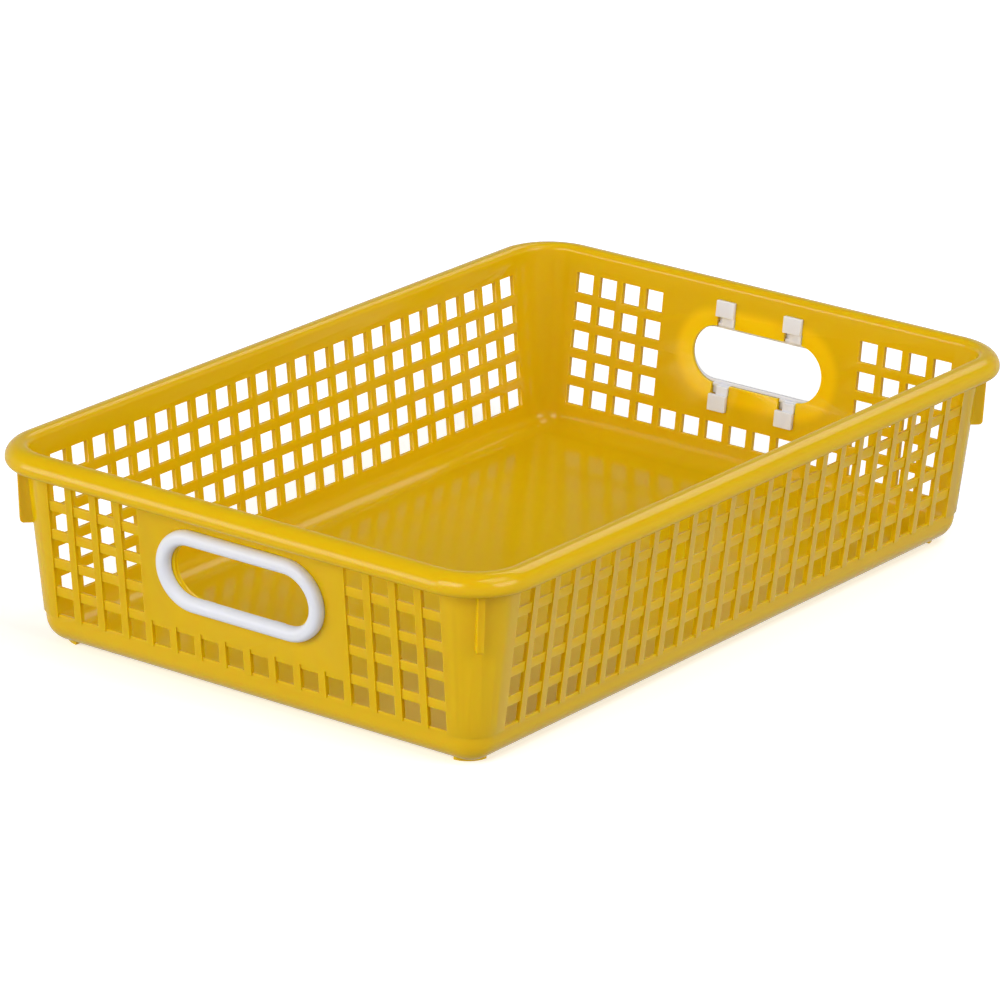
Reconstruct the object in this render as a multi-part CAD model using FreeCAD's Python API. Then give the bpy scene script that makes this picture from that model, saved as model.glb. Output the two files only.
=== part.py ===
import FreeCAD, Part
import math
import os

# Perforated plastic basket with two snap-in hand grips.
#
# The basket is one injection moulding: a solid floor, four leaning walls with rows of square
# holes between upright ribs, plain corners and a bead-like rim. Each grip is a second
# moulding, a slotted ring that sits on the outside of a short wall and hooks over the edge
# of its hand hole.
#
# Frame: +X along the length, +Y across, +Z up, origin in the middle of the underside.
# u is the distance outward from the line through the four corner centres, so the same
# section serves the straight walls and the corners.

# ---- overall sizes ----
length = 374.0
width = 254.0
height = 84.0

# ---- rim ----
rim_corner_radius = 28.0   # outer edge in plan
rim_depth = 9.0            # height of the rounded bead
rim_crown_radius = 6.0     # bead's upper outer edge; the rest of its depth is rounded under
rim_roll_radius = 3.0      # inside, where the wall rolls over into the bead
rim_flat = 0.9             # level strip along the top of the bead

# ---- floor and walls ----
wall = 1.5                 # thickness of the holes' bars
floor_thickness = 1.8
draft = 0.11               # outward lean of the walls, run per unit of rise
cove_radius = 9.0          # inside, between floor and wall

# ---- ribs and plain panels, which stand out from the bars between the holes ----
rib_height = 0.6
rib_width = 3.4
rib_bottom = 13.4          # height where ribs and panels end

# ---- holes, spread evenly over each wall ----
rows = 5
bar_height = 4.1           # between one row and the next
sill = 1.05                # from the ribs' lower end up to the lowest row
head = 1.65                # from the highest row up to the underside of the rim
top_row_extra = 0.8        # the highest row's holes are taller by this, upward
long_columns = 24
long_margin = 4.7          # from the last hole of a long wall to the start of the corner
short_columns = 16
short_margin = 1.5
full_columns = 4           # full columns each side of the plain panel round a hand hole

# ---- hand holes ----
hand_hole_length = 67.4
hand_hole_height = 25.4
hand_hole_drop = 22.7      # from the underside of the rim down to its middle
notch_depth = 4.6          # slot in the hole's long edges that lets a hook pass the wall

# ---- grips ----
ring_side_lap = 1.3        # how far the ring covers the hand hole's long edges
ring_end_gap = 1.4         # how far it stays back from the ends, where the wall's edge shows
ring_band = 6.0            # width of the ring's face
ring_height = 4.2          # how far the ring stands out of the wall
ring_edge_radius = 2.7
shoe_depth = 1.2           # wide foot of a hook, which fills the mouth of its notch
shoe_length = 1.3
grip_clearance = 0.15      # between a hook and the basket
hook_inset = 3.6           # from the end of the hand hole's straight edge to a hook's middle
stem_width = 5.8           # narrow part of a hook, in one side of its notch
stem_thickness = 0.9       # where it lies over the wall's inner face
stem_setback = 0.6         # from the edge of the hand hole
pad_width = 9.0
pad_length = 7.2
pad_thickness = 1.8

# ---- corner fins, which brace the rim ----
fin_thickness = 2.8
fin_reach = 5.3            # beyond the corner panel at the fin's lower edge
fin_lean = 0.045           # run of the outer edge per unit of rise
fin_length = 24.2          # from the underside of the rim down to its lower edge
fin_corner_radius = 1.6

# ---- feet ----
foot_height = 0.8
foot_width = 2.8
foot_radius = 10.0         # outer edge in plan
foot_overhang = 1.6        # outer edge beyond the flat of the underside, on the diagonal
foot_sweep = 80.0          # degrees of arc

# ---- places worked out from the sizes above ----
slant = math.sqrt(1.0 + draft * draft)
lean_angle = math.degrees(math.atan(draft))
centre_x = length / 2 - rim_corner_radius
centre_y = width / 2 - rim_corner_radius
crown_z = height - rim_crown_radius
crown_u = rim_corner_radius - rim_crown_radius
roll_z = height - rim_roll_radius
roll_u = crown_u - rim_flat
under_radius = rim_depth - rim_crown_radius
rim_bottom = height - rim_depth
floor_top = foot_height + floor_thickness
panel = wall + rib_height
lowest_hole = rib_bottom + sill
highest_hole = rim_bottom - head - top_row_extra
row_pitch = (highest_hole + bar_height - lowest_hole) / rows
hole_height = row_pitch - bar_height
long_pitch = (2 * (centre_x - long_margin) + rib_width) / long_columns
short_pitch = (2 * (centre_y - short_margin) + rib_width) / short_columns
hand_hole_centre = rim_bottom - hand_hole_drop
fin_bottom = rim_bottom - fin_length
least_corner = 1.0         # smallest corner radius left on the flat of the floor
through = 4 * panel        # length of a cutter's overrun past a face
up = FreeCAD.Vector(0, 0, 1)


def wall_u(z, depth):
    """Wall face at height z; depth is measured square to the wall, outward from its inner face."""
    return roll_u - rim_roll_radius * slant - draft * (roll_z - z) + depth * slant


def spot(u, z):
    return FreeCAD.Vector(u, 0, z)


def on_circle(u, z, radius, degrees):
    turn = math.radians(degrees)
    return spot(u + radius * math.cos(turn), z + radius * math.sin(turn))


def arc(u, z, radius, start, end):
    """Arc about (u, z) between two directions given in degrees."""
    middle = (start + end) / 2
    points = [on_circle(u, z, radius, angle) for angle in (start, middle, end)]
    return Part.Arc(*points).toShape()


def profile(pieces):
    """Face inside a closed run of arcs, with straight lines from each one to the next."""
    edges = []
    for index, piece in enumerate(pieces):
        following = pieces[(index + 1) % len(pieces)]
        edges.append(piece)
        start = piece.valueAt(piece.LastParameter)
        end = following.valueAt(following.FirstParameter)
        if start.distanceToPoint(end) > 1e-6:
            edges.append(Part.makeLine(start, end))
    return Part.Face(Part.Wire(edges))


def polygon(points):
    return Part.Face(Part.makePolygon(points + points[:1]))


def cove():
    """Inside radius between floor and wall, limited so that the floor keeps its corners."""
    room = (wall_u(floor_top, 0) - least_corner) / (slant - draft)
    return min(cove_radius, room)


def flat_edge():
    """Where the flat of the underside ends and the outer corner starts."""
    radius = cove() + wall
    return wall_u(foot_height + radius, wall) - radius * slant


def shell_section():
    """Section of floor, wall and rim, from the corner line outward."""
    inner_radius = cove()
    outer_radius = inner_radius + wall
    inner_z = floor_top + inner_radius
    inner_centre = wall_u(inner_z, 0) - inner_radius * slant
    outer_z = foot_height + outer_radius
    bead_meets_wall = wall_u(rim_bottom, wall)
    middle = Part.makeLine(spot(0, floor_top), spot(0, foot_height))
    outer_corner = arc(flat_edge(), outer_z, outer_radius, -90, -lean_angle)
    under_u = rim_corner_radius - under_radius
    step = Part.makeLine(spot(bead_meets_wall, rim_bottom), spot(under_u, rim_bottom))
    under = arc(under_u, crown_z, under_radius, -90, 0)
    crown = arc(crown_u, crown_z, rim_crown_radius, 0, 90)
    roll = arc(roll_u, roll_z, rim_roll_radius, 90, 180 - lean_angle)
    inner_corner = arc(inner_centre, inner_z, inner_radius, -lean_angle, -90)
    return profile([middle, outer_corner, step, under, crown, roll, inner_corner])


def panel_section():
    """Section of the ribs and plain panels, let into the wall and the rim."""
    inside = wall / 2
    return polygon([
        spot(wall_u(rib_bottom, inside), rib_bottom),
        spot(wall_u(rib_bottom, panel), rib_bottom),
        spot(wall_u(crown_z, panel), crown_z),
        spot(wall_u(crown_z, inside), crown_z),
    ])


def around(section):
    """The section carried round the four sides and four corners."""
    solids = []
    for quarter in range(4):
        along_x = quarter % 2 == 1
        half_side = centre_x if along_x else centre_y
        reach = centre_y if along_x else centre_x
        side = section.copy()
        side.translate(FreeCAD.Vector(reach, -half_side, 0))
        side = side.extrude(FreeCAD.Vector(0, 2 * half_side, 0))
        side.rotate(FreeCAD.Vector(0, 0, 0), up, 90 * quarter)
        solids.append(side)
        corner = section.copy()
        corner.translate(FreeCAD.Vector(reach, half_side, 0))
        corner = corner.revolve(FreeCAD.Vector(reach, half_side, 0), up, 90)
        corner.rotate(FreeCAD.Vector(0, 0, 0), up, 90 * quarter)
        solids.append(corner)
    return solids


def centred(count, pitch):
    """Places of count items along a line, evenly spaced about zero."""
    return [(index - (count - 1) / 2) * pitch for index in range(count)]


def hole_box(place, hole_width, bottom, top, reach, along_x):
    """Cutter for one hole in each of two opposite walls."""
    if along_x:
        corner = FreeCAD.Vector(-reach, place - hole_width / 2, bottom)
        return Part.makeBox(2 * reach, hole_width, top - bottom, corner)
    corner = FreeCAD.Vector(place - hole_width / 2, -reach, bottom)
    return Part.makeBox(hole_width, 2 * reach, top - bottom, corner)


def groove(place, hole_width, top, reach):
    """Cutter that leaves the bars of one column standing back between two ribs."""
    section = polygon([
        spot(reach + wall_u(rib_bottom, wall), rib_bottom - through),
        spot(reach + wall_u(rib_bottom, wall), rib_bottom),
        spot(reach + wall_u(top, wall), top),
        spot(reach + wall_u(top, panel + rib_height), top),
        spot(reach + wall_u(rib_bottom, panel + rib_height), rib_bottom - through),
    ])
    section.translate(FreeCAD.Vector(0, place - hole_width / 2, 0))
    return section.extrude(FreeCAD.Vector(0, hole_width, 0))


def full_height_column(index):
    return index < full_columns or index >= short_columns - full_columns


def wall_cutters():
    """Holes and grooves of all four walls."""
    cutters = []
    panel_edge = lowest_hole + hole_height + bar_height / 2
    sides = [(long_columns, long_pitch, centre_y, False), (short_columns, short_pitch, centre_x, True)]
    for columns, pitch, reach, along_x in sides:
        hole_width = pitch - rib_width
        far = reach + rim_corner_radius
        for index, place in enumerate(centred(columns, pitch)):
            tall = not along_x or full_height_column(index)
            for row in range(rows if tall else 1):
                bottom = lowest_hole + row * row_pitch
                top = bottom + hole_height
                if row == rows - 1:
                    top += top_row_extra
                cutters.append(hole_box(place, hole_width, bottom, top, far, along_x))
            one = groove(place, hole_width, rim_bottom if tall else panel_edge, reach)
            for turn in (0, 180):
                cutter = one.copy()
                cutter.rotate(FreeCAD.Vector(0, 0, 0), up, turn if along_x else turn + 90)
                cutters.append(cutter)
    return cutters


def slot(slot_length, slot_height, start, thickness):
    """Round-ended slot across a short wall, before the wall's lean is given to it."""
    radius = slot_height / 2
    half = slot_length / 2 - radius
    left = FreeCAD.Vector(-half, 0, start)
    right = FreeCAD.Vector(half, 0, start)
    rise = FreeCAD.Vector(0, radius, 0)
    sideways = FreeCAD.Vector(radius, 0, 0)
    outline = Part.Wire([
        Part.Arc(right - rise, right + sideways, right + rise).toShape(),
        Part.makeLine(right + rise, left + rise),
        Part.Arc(left + rise, left - sideways, left - rise).toShape(),
        Part.makeLine(left - rise, right - rise),
    ])
    return Part.Face(outline).extrude(FreeCAD.Vector(0, 0, thickness))


def block(middle_x, bottom, start, size_x, size_y, thickness):
    corner = FreeCAD.Vector(middle_x - size_x / 2, bottom, start)
    return Part.makeBox(size_x, size_y, thickness, corner)


def on_short_wall(shape, front):
    """Stand a flat-drawn shape on a short wall: x across, y up the wall, z outward from its face."""
    placed = shape.copy()
    axes = FreeCAD.Matrix()
    axes.A11, axes.A21, axes.A31 = 0.0, 1.0, 0.0
    axes.A12, axes.A22, axes.A32 = draft / slant, 0.0, 1.0 / slant
    axes.A13, axes.A23, axes.A33 = 1.0 / slant, 0.0, -draft / slant
    axes.A14 = centre_x + wall_u(hand_hole_centre, 0)
    axes.A34 = hand_hole_centre
    placed = placed.transformed(axes)
    if not front:
        placed.rotate(FreeCAD.Vector(0, 0, 0), up, 180)
    return placed


def hook_places():
    straight = hand_hole_length - hand_hole_height
    spacing = straight - 2 * hook_inset
    return [(across, side) for across in centred(2, spacing) for side in (-1, 1)]


def over_edge(shape, side):
    """A shape drawn at the upper long edge of the hand hole, or its mirror at the lower one."""
    if side > 0:
        return shape
    return shape.mirror(FreeCAD.Vector(0, 0, 0), FreeCAD.Vector(0, 1, 0))


def hand_hole_cutter():
    """Hand hole and its notches for the hooks."""
    notch_width = pad_width + 2 * grip_clearance
    reach = hand_hole_height / 2 + notch_depth
    cutter = slot(hand_hole_length, hand_hole_height, -through, 2 * through)
    for across, side in hook_places():
        notch = block(across, 0.0, -through, notch_width, reach, 2 * through)
        cutter = cutter.fuse(over_edge(notch, side))
    return cutter


def corner_fin():
    """Upright fin in the diagonal of a corner, drawn along +X from the corner centre."""
    outer_bottom = wall_u(fin_bottom, panel) + fin_reach
    outer_top = outer_bottom + fin_lean * (crown_z - fin_bottom)
    outline = polygon([
        spot(wall_u(fin_bottom, wall / 2), fin_bottom),
        spot(outer_bottom, fin_bottom),
        spot(outer_top, crown_z),
        spot(wall_u(crown_z, wall / 2), crown_z),
    ])
    outline.translate(FreeCAD.Vector(0, -fin_thickness / 2, 0))
    fin = outline.extrude(FreeCAD.Vector(0, fin_thickness, 0))
    for edge in fin.Edges:
        middle = edge.CenterOfMass
        at_corner = abs(middle.x - outer_bottom) < 1e-3 and abs(middle.z - fin_bottom) < 1e-3
        if at_corner:
            return fin.makeFillet(fin_corner_radius, [edge])
    return fin


def foot():
    """Low curved bar under a corner, drawn along +X from the corner centre."""
    top = foot_height + floor_thickness / 2
    section = polygon([
        spot(foot_radius - foot_width, 0),
        spot(foot_radius, 0),
        spot(foot_radius, top),
        spot(foot_radius - foot_width, top),
    ])
    bar = section.revolve(FreeCAD.Vector(0, 0, 0), up, foot_sweep)
    bar.rotate(FreeCAD.Vector(0, 0, 0), up, -foot_sweep / 2)
    bar.translate(FreeCAD.Vector(flat_edge() + foot_overhang - foot_radius, 0, 0))
    return bar


def at_corners(shape):
    """One copy per corner of a shape drawn along +X from the corner centre."""
    copies = []
    for sign_x, sign_y in ((1, 1), (-1, 1), (-1, -1), (1, -1)):
        copy = shape.copy()
        copy.rotate(FreeCAD.Vector(0, 0, 0), up, math.degrees(math.atan2(sign_y, sign_x)))
        copy.translate(FreeCAD.Vector(sign_x * centre_x, sign_y * centre_y, 0))
        copies.append(copy)
    return copies


def basket_shell():
    corner = FreeCAD.Vector(-centre_x, -centre_y, foot_height)
    floor = Part.makeBox(2 * centre_x, 2 * centre_y, floor_thickness, corner)
    shell = floor.multiFuse(around(shell_section())).removeSplitter()
    panels = around(panel_section())
    layer = panels[0].multiFuse(panels[1:]).removeSplitter()
    shell = shell.fuse(layer)
    shell = shell.multiFuse(at_corners(corner_fin()) + at_corners(foot())).removeSplitter()
    cutters = wall_cutters()
    for front in (True, False):
        cutters.append(on_short_wall(hand_hole_cutter(), front))
    return shell.cut(Part.makeCompound(cutters)).removeSplitter()


def ring():
    """The grip's slotted ring, seated on the outer face of the plain panel."""
    inner_length = hand_hole_length + 2 * ring_end_gap
    inner_height = hand_hole_height - 2 * ring_side_lap
    outer = slot(inner_length + 2 * ring_band, inner_height + 2 * ring_band, panel, ring_height)
    blank = outer.cut(slot(inner_length, inner_height, panel, ring_height))
    face_height = panel + ring_height
    rounded = [edge for edge in blank.Edges if abs(edge.BoundBox.ZMin - face_height) < 1e-3]
    radius = min(ring_edge_radius, ring_height * 0.9, ring_band * 0.48)
    return blank.makeFillet(radius, rounded)


def hook(across):
    """Stem through a notch of the upper long edge, and a pad on the wall's inner face."""
    edge = hand_hole_height / 2
    pad_start = edge + notch_depth - grip_clearance
    stem_face = -grip_clearance - stem_thickness
    stem_middle = across - (pad_width - stem_width) / 2
    stem_start = edge + stem_setback
    stem_length = pad_start - stem_start
    stem = block(stem_middle, stem_start, stem_face, stem_width, stem_length, panel - stem_face)
    shoe = block(across, edge, panel - shoe_depth, pad_width, shoe_length, shoe_depth)
    pad_face = -grip_clearance - pad_thickness
    pad = block(across, pad_start, pad_face, pad_width, pad_length, pad_thickness)
    return stem.multiFuse([shoe, pad])


def grip(front):
    hooks = [over_edge(hook(across), side) for across, side in hook_places()]
    solid = ring().multiFuse(hooks).removeSplitter()
    return on_short_wall(solid, front)


def main():
    nodes = {
        "basket_shell": basket_shell(),
        "front_grip": grip(True),
        "rear_grip": grip(False),
    }
    os.makedirs("parts", exist_ok=True)
    for name, shape in nodes.items():
        shape.exportStep("parts/" + name + ".step")
        box = shape.BoundBox
        size = "%.2f x %.2f x %.2f" % (box.XLength, box.YLength, box.ZLength)
        volume = "%.1f cm3" % (shape.Volume / 1000)
        print(name, shape.ShapeType, len(shape.Solids), shape.isValid(), size, volume)


main()
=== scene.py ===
import bpy
import math
from mathutils import Matrix, Vector

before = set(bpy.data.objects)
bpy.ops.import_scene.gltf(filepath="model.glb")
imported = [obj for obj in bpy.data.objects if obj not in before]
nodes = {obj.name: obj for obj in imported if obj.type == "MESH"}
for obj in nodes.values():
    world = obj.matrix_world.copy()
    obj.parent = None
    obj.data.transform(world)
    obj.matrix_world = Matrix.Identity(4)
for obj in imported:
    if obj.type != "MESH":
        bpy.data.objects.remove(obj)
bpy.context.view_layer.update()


# ---- basket_shell ----
# The basket itself: one injection moulding in yellow polypropylene, a plastic that light sinks a
# little way into. The steel mould is polished, so the faces are glossy, with the faint waviness
# that polypropylene takes as it shrinks. Every edge has the small radius of a mould cutter.

def linear(hex_colour):
    """sRGB hex to the linear colour that shaders use."""
    parts = [int(hex_colour[i:i + 2], 16) / 255 for i in (1, 3, 5)]
    return [p / 12.92 if p <= 0.04045 else ((p + 0.055) / 1.055) ** 2.4 for p in parts] + [1.0]


def node(owner, kind, settings=None, inputs=None):
    """Add a node; an input given as (node, output name) is linked, any other value is set."""
    made = owner.node_tree.nodes.new(kind)
    for name, value in (settings or {}).items():
        setattr(made, name, value)
    for name, value in (inputs or {}).items():
        if isinstance(value, tuple) and isinstance(value[0], bpy.types.Node):
            owner.node_tree.links.new(value[0].outputs[value[1]], made.inputs[name])
        else:
            made.inputs[name].default_value = value
    return made


def moulded_polypropylene(name, colours, depths_mm, gloss, ripple_mm, ripple_depth_mm):
    """Moulded polypropylene; returns the material and its place, tone and surface nodes."""
    material = bpy.data.materials.new(name)
    material.use_nodes = True
    material.node_tree.nodes.clear()
    place = node(material, "ShaderNodeTexCoord")
    # Pigment drifts slightly in tone over 60 mm, as the melt flows from the middle of the floor.
    drift = node(material, "ShaderNodeTexNoise", inputs={
        "Vector": (place, "Object"), "Scale": 1000 / 60, "Detail": 2.0})
    tone = node(material, "ShaderNodeMix", {"data_type": "RGBA"}, {
        "Factor": (drift, "Fac"), "A": linear(colours[0]), "B": linear(colours[1])})
    # Stacking and handling leave the gloss uneven, in patches of about 12 mm.
    rub = node(material, "ShaderNodeTexNoise", inputs={
        "Vector": (place, "Object"), "Scale": 1000 / 12, "Detail": 4.0, "Roughness": 0.6})
    haze = node(material, "ShaderNodeMapRange", inputs={
        "Value": (rub, "Fac"), "From Min": 0.35, "From Max": 0.75,
        "To Min": gloss[0], "To Max": gloss[1]})
    # Shrinkage leaves a soft waviness in the skin, and its finest grain is drawn at 0.8 mm.
    ripple = node(material, "ShaderNodeTexNoise", inputs={
        "Vector": (place, "Object"), "Scale": 1000 / ripple_mm, "Detail": 1.0})
    wave = node(material, "ShaderNodeBump", inputs={
        "Height": (ripple, "Fac"), "Strength": 1.0, "Distance": ripple_depth_mm / 1000})
    grain = node(material, "ShaderNodeTexNoise", inputs={
        "Vector": (place, "Object"), "Scale": 1000 / 0.8, "Detail": 0.0})
    skin = node(material, "ShaderNodeBump", inputs={
        "Height": (grain, "Fac"), "Strength": 1.0, "Distance": 0.000002,
        "Normal": (wave, "Normal")})
    surface = node(material, "ShaderNodeBsdfPrincipled", inputs={
        "Base Color": (tone, "Result"), "Roughness": (haze, "Result"), "IOR": 1.49,
        "Specular IOR Level": 0.3, "Subsurface Weight": 1.0, "Subsurface Scale": 0.001,
        "Normal": (skin, "Normal")})
    surface.inputs["Subsurface Radius"].default_value = depths_mm
    node(material, "ShaderNodeOutputMaterial", inputs={"Surface": (surface, "BSDF")})
    return material, place, tone, surface


yellow_plastic, place, tone, surface = moulded_polypropylene(
    "gloss_polypropylene_yellow", ("#E0B908", "#DBB306"), (1.5, 1.0, 0.15), (0.13, 0.2), 9.0, 0.02)

# The short walls let some light through, so their inner faces look fuller where a white ring backs
# them; that glow is painted into the base colour here as a brighter yellow.
# The painted glow is a band round the hand hole's middle line; sizes are in metres.
hand_hole_z = 0.0523
middle_line_half = 0.021    # half of the hand hole's straight length
painted_glow_full = 0.0175         # distance from the middle line where the painted glow starts to fade
painted_glow_end = 0.023
wall_lean = 0.11            # outward run per unit of rise
inner_face_x = 0.1739       # inner face of a short wall, at the height of hand_hole_z
face_tolerance = 0.0009
# Painted glow: the brighter yellow that stands in for light coming through the wall from the white
# ring behind it.
painted_glow_colour = "#F4CB0A"


def maths(owner, operation, first, second=0.0, third=0.0, clamp=False):
    """Add a math node; returns its value for the next node's input."""
    made = node(owner, "ShaderNodeMath", {"operation": operation, "use_clamp": clamp}, {
        0: first, 1: second, 2: third})
    return made, "Value"


where = node(yellow_plastic, "ShaderNodeSeparateXYZ", inputs={"Vector": (place, "Object")})
across = maths(yellow_plastic, "ABSOLUTE", (where, "Y"))
beyond = maths(yellow_plastic, "SUBTRACT", across, middle_line_half, clamp=True)
above = maths(yellow_plastic, "SUBTRACT", (where, "Z"), hand_hole_z)
offset = node(yellow_plastic, "ShaderNodeCombineXYZ", inputs={"X": beyond, "Y": above})
distance = node(yellow_plastic, "ShaderNodeVectorMath", {"operation": "LENGTH"}, {
    0: (offset, "Vector")})
painted_glow_mask = node(yellow_plastic, "ShaderNodeMapRange", {"interpolation_type": "SMOOTHSTEP"}, {
    "Value": (distance, "Value"), "From Min": painted_glow_full, "From Max": painted_glow_end,
    "To Min": 1.0, "To Max": 0.0})
endways = maths(yellow_plastic, "ABSOLUTE", (where, "X"))
upright_x = maths(yellow_plastic, "MULTIPLY_ADD", above, -wall_lean, endways)
inner_face = maths(yellow_plastic, "COMPARE", upright_x, inner_face_x, face_tolerance)
# Painted glow: inside the band, on the inner face only, the colour is brightened to stand in for
# light through the wall.
painted_glow_on_face = maths(yellow_plastic, "MULTIPLY", (painted_glow_mask, "Result"), inner_face)
painted_glow_tone = node(yellow_plastic, "ShaderNodeMix", {"data_type": "RGBA"}, {
    "Factor": painted_glow_on_face, "A": (tone, "Result"), "B": linear(painted_glow_colour)})
yellow_plastic.node_tree.links.new(painted_glow_tone.outputs["Result"], surface.inputs["Base Color"])
shell = nodes["basket_shell"]
shell.data.materials.clear()
shell.data.materials.append(yellow_plastic)


# ---- front_grip, rear_grip ----
# A slotted ring with four hooks, moulded in white polypropylene with a softer gloss and
# snapped over the edge of each hand hole.

white_plastic, *_ = moulded_polypropylene(
    "satin_polypropylene_white", ("#E6E7EC", "#E1E2E8"), (0.8, 0.8, 0.9), (0.3, 0.38), 7.0, 0.015)
for name in ("front_grip", "rear_grip"):
    nodes[name].data.materials.clear()
    nodes[name].data.materials.append(white_plastic)


# ---- rounded edges ----
# The mould leaves a radius of about 0.3 mm on every edge. The basket's broad flat faces are
# joined up first, so that only real edges are rounded.
for part in nodes.values():
    weld = part.modifiers.new("weld", "WELD")
    weld.merge_threshold = 0.00001
    if part is shell:
        flat = part.modifiers.new("join flats", "DECIMATE")
        flat.decimate_type = "DISSOLVE"
        flat.angle_limit = math.radians(0.5)
    edge = part.modifiers.new("mould radius", "BEVEL")
    edge.width = 0.0003
    edge.segments = 2
    edge.limit_method = "ANGLE"
    edge.angle_limit = math.radians(35)
    edge.harden_normals = True
    part.data.shade_smooth()


# ---- floor, light and camera ----
# A white paper floor that takes shadows but neither lights the basket nor mirrors in it, soft
# white surroundings, and five large softboxes.
bpy.ops.mesh.primitive_plane_add(size=12.0, location=(0, 0, 0))
floor = bpy.context.active_object
floor.name = "studio_floor"
paper = bpy.data.materials.new("matt_white_paper")
paper.use_nodes = True
sheet = paper.node_tree.nodes["Principled BSDF"]
sheet.inputs["Base Color"].default_value = linear("#F7F7F7")
sheet.inputs["Roughness"].default_value = 0.9
sheet.inputs["Emission Color"].default_value = linear("#FFFFFF")
sheet.inputs["Emission Strength"].default_value = 0.45
floor.data.materials.append(paper)
floor.visible_diffuse = False
floor.visible_glossy = False

world = bpy.data.worlds.new("studio")
bpy.context.scene.world = world
world.use_nodes = True
# White walls all round, fading quickly to a dim ceiling and slowly to the shade underneath.
direction = node(world, "ShaderNodeTexCoord")
height = node(world, "ShaderNodeSeparateXYZ", inputs={"Vector": (direction, "Generated")})
slow_fade = -0.3
lowered = maths(world, "MULTIPLY", (height, "Z"), slow_fade)
steepness = maths(world, "MAXIMUM", (height, "Z"), lowered)
walls = node(world, "ShaderNodeMapRange", {"interpolation_type": "SMOOTHSTEP"}, {
    "Value": steepness, "From Min": 0.0, "From Max": 0.6, "To Min": 0.64, "To Max": 0.14})
background = world.node_tree.nodes["Background"]
background.inputs["Color"].default_value = linear("#FFFFFF")
world.node_tree.links.new(walls.outputs["Result"], background.inputs["Strength"])


def softbox(name, azimuth, elevation, watts):
    """A 2.5 by 1.75 m softbox, 4 m from the basket and turned towards it."""
    distance_m = 4.0
    light = bpy.data.lights.new(name, "AREA")
    light.shape = "RECTANGLE"
    light.size, light.size_y = 2.5, 1.75
    light.energy = watts
    holder = bpy.data.objects.new(name, light)
    bpy.context.scene.collection.objects.link(holder)
    around, up = math.radians(azimuth), math.radians(elevation)
    away = Vector((math.cos(up) * math.cos(around), math.cos(up) * math.sin(around), math.sin(up)))
    holder.location = distance_m * away
    holder.rotation_mode = "QUATERNION"
    holder.rotation_quaternion = (-away).to_track_quat("-Z", "Y")


softbox("low left softbox", 143, 10, 50)
softbox("near end softbox", 180, 30, 70)
softbox("right softbox", -90, 28, 60)
softbox("high right softbox", -90, 62, 34)
softbox("far end softbox", 4, 44, 26)

camera = bpy.data.objects.new("camera", bpy.data.cameras.new("camera"))
bpy.context.scene.collection.objects.link(camera)
bpy.context.scene.camera = camera
camera.data.sensor_width = 36.0
camera.data.lens = 219.64
camera_place = (-1.89256, -1.39326, 0.8831)
heading, pitch, roll = (math.radians(degrees) for degrees in (36.492, 19.775, 1.182))
quarter_turn = math.radians(90)
camera.matrix_world = (
    Matrix.Translation(camera_place)
    @ Matrix.Rotation(heading - quarter_turn, 4, "Z")
    @ Matrix.Rotation(quarter_turn - pitch, 4, "X")
    @ Matrix.Rotation(roll, 4, "Z"))
camera.data.clip_end = 20

bpy.context.scene.view_settings.view_transform = "Standard"
